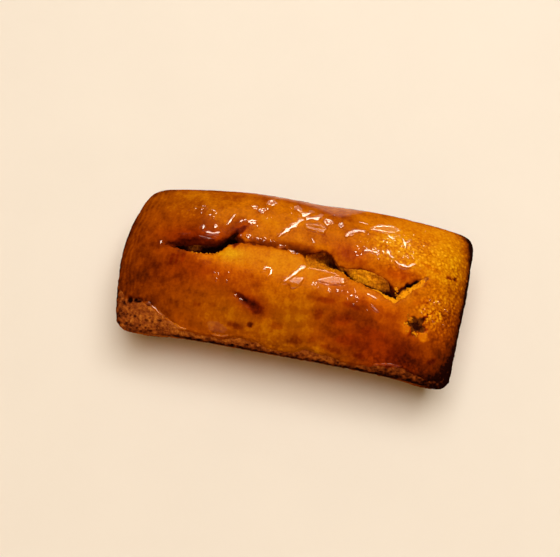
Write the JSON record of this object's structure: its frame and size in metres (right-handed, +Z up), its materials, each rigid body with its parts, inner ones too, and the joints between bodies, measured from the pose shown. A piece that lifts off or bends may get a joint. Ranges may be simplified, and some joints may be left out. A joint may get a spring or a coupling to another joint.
{
  "type": "financier cake",
  "caption": "Small almond sponge bar with drafted walls, a domed crown split along its length, and a flat base to rest on.",
  "frame": {"origin": "middle of the flat base, on the surface that the cake stands on", "axes": "+X along the bar towards its square end, +Y across the bar, +Z up out of the crown"},
  "size_m": [0.098, 0.0496, 0.0233],
  "materials": {
    "crust": "baked golden-brown crust under a glossy amber glaze"
  },
  "bodies": {
    "root": {"cake": "crust"}
  },
  "joints": []
}
